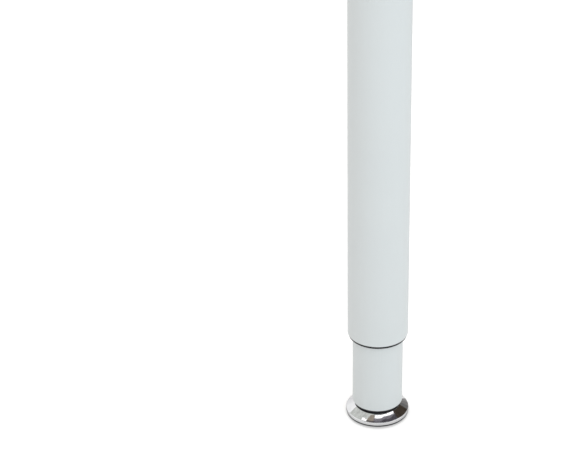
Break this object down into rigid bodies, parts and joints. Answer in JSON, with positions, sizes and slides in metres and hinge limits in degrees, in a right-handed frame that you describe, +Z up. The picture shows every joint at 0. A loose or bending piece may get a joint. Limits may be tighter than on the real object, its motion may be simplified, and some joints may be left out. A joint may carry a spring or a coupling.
{
  "type": "telescopic table leg end with levelling foot",
  "caption": "Round telescopic steel leg end with black guide bush, rear clamp screw and a chromed screw-in levelling foot on a glide disc.",
  "frame": {"origin": "on the floor under the leg, on the axis of both tubes and of the foot", "axes": "+Z up along the tubes, +Y towards the clamp screw at the rear, so the pictured side faces -Y"},
  "size_m": [0.063, 0.0675, 0.48],
  "materials": {
    "powder_grey": "fine satin powder coat, very light cool grey",
    "chrome": "polished chrome plate",
    "black_plastic": "black moulded plastic, fine grain",
    "grey_sole": "dark grey soft plastic, matt",
    "zinc_steel": "bright zinc plate",
    "black_steel": "black oxide with a little oil",
    "natural_plastic": "uncoloured slide plastic, slightly waxy"
  },
  "bodies": {
    "glide": {"sole": "grey_sole", "glide_disc": "black_plastic", "thrust_disc": "zinc_steel"},
    "foot": {"foot_cap": "chrome", "foot_core": "black_plastic", "stud": "zinc_steel", "foot_washer": "zinc_steel", "foot_nut": "zinc_steel"},
    "inner_leg": {"inner_tube": "powder_grey", "end_plug": "black_plastic", "thread_disc": "zinc_steel", "upper_guide": "natural_plastic", "guide_rivet_1": "zinc_steel", "guide_rivet_2": "zinc_steel", "guide_rivet_3": "zinc_steel"},
    "outer_leg": {"outer_tube": "powder_grey", "guide_bush": "black_plastic", "screw_boss": "powder_grey"},
    "clamp_pad": {"pressure_pad": "natural_plastic"},
    "clamp_screw": {"lock_screw": "black_steel"}
  },
  "joints": [
    {"name": "foot_turn", "type": "hinge", "parent": "glide", "child": "foot", "pos_m": [0, 0, 0], "axis": [0, 0, -1], "range_deg": [0, 2400]},
    {"name": "level_travel", "type": "slide", "parent": "glide", "child": "inner_leg", "axis": [0, 0, 1], "range_m": [0, 0.01]},
    {"name": "height_adjust", "type": "slide", "parent": "inner_leg", "child": "outer_leg", "axis": [0, 0, 1], "range_m": [-0.055, 0.12]},
    {"name": "clamp_travel", "type": "slide", "parent": "outer_leg", "child": "clamp_pad", "axis": [0, 1, 0], "range_m": [0, 0.000937]},
    {"name": "clamp_turn", "type": "hinge", "parent": "clamp_pad", "child": "clamp_screw", "pos_m": [0, 0.03, 0.1298], "axis": [0, 1, 0], "range_deg": [0, 270]}
  ],
  "couplings": [
    {"joint": "foot_turn", "follows": "level_travel", "rad_per_m": 4188.8},
    {"joint": "clamp_turn", "follows": "clamp_travel", "rad_per_m": 5026.6}
  ]
}
